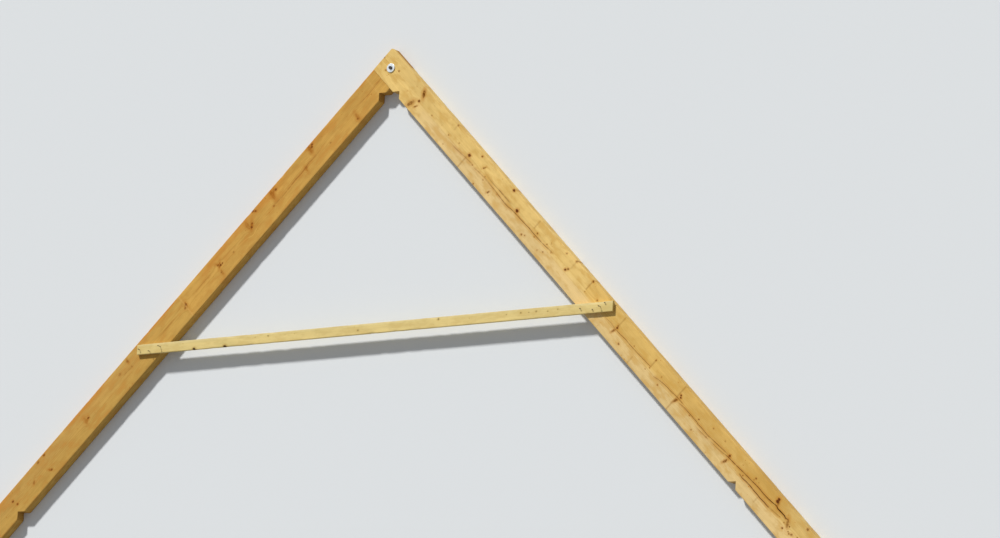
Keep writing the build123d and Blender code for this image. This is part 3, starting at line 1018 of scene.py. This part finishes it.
def make_nails(name, marks, side):
    """Wire nails of one end of the batten: pointed shank, grip rings under the head, flat head."""
    face = rafter_thickness + batten_thickness
    head_thickness, grip_spacing, grip_rings, around = 0.0018, 0.0012, 9, 20
    most_lean, bend_depth = 2.2, 0.004
    points, faces = [], []
    draw = np.random.default_rng(20 + side)
    for inset, above, proud in marks:
        middle = on_batten(np.array([side * (batten_length / 2 - inset), above, 0.0]))
        top = face + proud
        tip = top - nail_length
        grip = [top - head_thickness - grip_spacing * number for number in range(grip_rings, 0, -1)]
        profile = [(0.0003, tip), (nail_radius, tip + nail_point), (nail_radius, grip[0] - 0.001)]
        profile += [
            (nail_radius * (0.93 if number % 2 else 1.02), level) for number, level in enumerate(grip)
        ]
        profile += [(radius, top - under) for radius, under in nail_head]
        radii, levels = zip(*profile)
        lean = draw.uniform(-most_lean, most_lean, 2)
        faces += ring_faces(len(profile), around, sum(len(part) for part in points))
        points.append(turned_points(radii, levels, around, middle, lean, face - bend_depth))
    return lone_object(name, np.concatenate(points), faces, 40.0)


def make_washer():
    """Timber washer: its cross-section, a rectangle with rounded rims, turned about the screw."""
    inner, outer, thick, rim = washer_hole_radius, washer_radius, washer_thickness, 0.0009
    quarter = np.linspace(0, pi / 2, 5)
    corners = [
        (outer - rim, thick - rim, 0.0), (inner + rim, thick - rim, pi / 2), (inner + rim, rim, pi),
        (outer - rim, rim, 1.5 * pi),
    ]
    section = np.concatenate([
        np.stack([x + rim * np.cos(start + quarter), z + rim * np.sin(start + quarter)], axis=-1)
        for x, z, start in corners
    ])
    count, around = len(section), 96
    turn = np.linspace(0, 2 * pi, around, endpoint=False)
    rings = np.zeros((around, count, 3))
    rings[..., 0] = screw_place[0] + np.outer(np.cos(turn), section[:, 0])
    rings[..., 1] = screw_place[1] + np.outer(np.sin(turn), section[:, 0])
    rings[..., 2] = rafter_thickness + section[None, :, 1]
    faces = face_outwards(ring_faces(around, count, closed=True), inwards=True)
    return lone_object("timber_washer", rings.reshape(-1, 3), faces)


def make_screw():
    """Coach screw: each ring is a circle on the shank, with a thread that climbs once a pitch,
    and on the head the smaller of a hexagon and the cone that chamfers its corners.

    The hexagon's radius is its half width over the cosine of the angle from the nearest flat. Its
    corners are softened by a smooth minimum with a circle: the 24th root of a sum of 24th powers."""
    pitch, thread_share, plain_shank = 0.005, 0.20, 0.022
    corner_radius, cone_radius, cone_start, cone_slope = 0.01345, 0.0142, 0.0070, 0.75
    collar_radius, collar_height, top_radius = 0.0116, 0.00065, 0.0004
    head_levels = [0.0, 0.0006, 0.0007, 0.002, 0.004, 0.006, 0.0075, 0.0085, 0.0093, 0.0098, 0.0100, 0.0100]
    seat = rafter_thickness + washer_thickness
    tip = seat - screw_length
    levels = np.concatenate([np.linspace(tip, seat - 0.0002, 190), seat + np.array(head_levels)])
    around = 96
    turn = np.linspace(0, 2 * pi, around, endpoint=False)
    taper = np.clip((levels - tip) / screw_point, 0.04, 1.0)
    threaded = (levels < seat - plain_shank)[:, None]
    climb = np.abs(((levels[:, None] - tip) / pitch - turn[None, :] / (2 * pi)) % 1.0 - 0.5) * 2.0
    thread = np.where(threaded, 1.0 - thread_share + thread_share * climb**0.6, 1.0)
    shank = screw_radius * taper[:, None] * thread
    hexagon = screw_head_half_width / np.cos((turn + pi / 6) % (pi / 3) - pi / 6)
    hexagon = (hexagon**-24 + corner_radius**-24) ** (-1 / 24)
    up = np.clip(levels - seat, 0, None)
    cone = cone_radius - np.clip(up - cone_start, 0, None) * cone_slope
    collar = np.where(up < collar_height, collar_radius, 1.0)
    head = np.minimum(hexagon[None, :], np.minimum(cone, collar)[:, None])
    head[-1] = top_radius
    radii = np.where((levels < seat)[:, None], shank, head)
    rings = np.zeros((len(levels), around, 3))
    rings[..., 0] = screw_place[0] + radii * np.cos(turn)
    rings[..., 1] = screw_place[1] + radii * np.sin(turn)
    rings[..., 2] = levels[:, None]
    return lone_object("coach_screw", rings.reshape(-1, 3), ring_faces(len(levels), around), 32.0)


# The pieces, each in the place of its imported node


def dress(piece, node, material):
    """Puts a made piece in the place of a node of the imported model."""
    piece.data.materials.clear()
    piece.data.materials.append(material)
    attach(piece, "root")
    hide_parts(node)


dress(make_rafter("planed_rafter_left", -1), "rafter_left", left_finish)
dress(make_rafter("planed_rafter_right", 1), "rafter_right", right_finish)
dress(make_batten(), "batten", batten_finish)
dress(make_washer(), "apex_washer", zinc)
dress(make_screw(), "apex_screw", screw_steel_painted_shade)
dress(make_nails("wire_nails_left", left_nails, -1), "batten_nails_left", nail_steel)
dress(make_nails("wire_nails_right", right_nails, 1), "batten_nails_right", nail_steel)


# Floor, light and camera


def make_floor():
    """Plain pale floor just under the truss."""
    reach, level = 60.0, -0.001
    mesh = bpy.data.meshes.new("floor")
    corners = [(-reach, -reach, 0), (reach, -reach, 0), (reach, reach, 0), (-reach, reach, 0)]
    mesh.from_pydata(corners, [], [(0, 1, 2, 3)])
    floor = put("floor", mesh)
    floor.location.z = level
    material, _, shader = new_finish("floor_paint")
    shader["Base Color"].default_value = paint(222, 226, 230)
    shader["Roughness"].default_value = 0.9
    shader["Specular IOR Level"].default_value = 0.2
    mesh.materials.append(material)


def make_light():
    """One wide soft lamp from above the apex and to the left, and even light from all round."""
    lamp = bpy.data.lights.new("window", "SUN")
    lamp.energy = 3.65
    lamp.angle = radians(5.0)
    lamp.color = (1.0, 0.985, 0.95)
    holder = put("window", lamp)
    holder.rotation_mode = "QUATERNION"
    holder.rotation_quaternion = Vector((0.32, -0.755, -0.572)).to_track_quat("-Z", "Y")
    world = bpy.data.worlds.new("studio")
    world.use_nodes = True
    tree = world.node_tree
    tree.nodes.clear()
    rays = add_node(tree, "ShaderNodeLightPath").outputs
    seen = maths(tree, "MAXIMUM", rays["Is Camera Ray"], rays["Is Glossy Ray"])
    strength = fade(tree, seen, 0.0, 1.0, 0.32, 0.85)
    shine = add_node(tree, "ShaderNodeBackground", {"Color": (0.97, 0.985, 1.0, 1.0), "Strength": strength})
    out = add_node(tree, "ShaderNodeOutputWorld")
    tree.links.new(shine.outputs[0], out.inputs[0])
    bpy.context.scene.world = world


def make_camera():
    """Long lens that looked up at the standing truss, laid back together with it.

    yaw, pitch and roll are those of the standing truss, whose X, Y, Z are its width, its run
    to the back and its height. Lying on its back, its height is Y and its back is -Z."""
    yaw, pitch, roll = radians(32.899), radians(12.291), radians(3.806)
    stand = Vector((19.923, -29.135, -9.306))
    forward = Vector((-sin(yaw) * cos(pitch), cos(yaw) * cos(pitch), sin(pitch)))
    level = Vector((cos(yaw), sin(yaw), 0.0))
    upright = level.cross(forward)
    right = cos(roll) * level + sin(roll) * upright
    up = cos(roll) * upright - sin(roll) * level
    laid_back = Matrix(((1, 0, 0), (0, 0, 1), (0, -1, 0)))
    turn = Matrix([laid_back @ right, laid_back @ up, laid_back @ -forward]).transposed()
    lens = bpy.data.cameras.new("camera")
    lens.sensor_width = 36.0
    lens.lens = 177.32
    lens.clip_start = 0.5
    lens.clip_end = 400.0
    camera = put("camera", lens)
    place = laid_back @ stand + Vector((0.0, apex_y, rafter_thickness))
    camera.matrix_world = Matrix.Translation(place) @ turn.to_4x4()
    bpy.context.scene.camera = camera


make_floor()
make_light()
make_camera()
bpy.context.scene.view_settings.view_transform = "Standard"
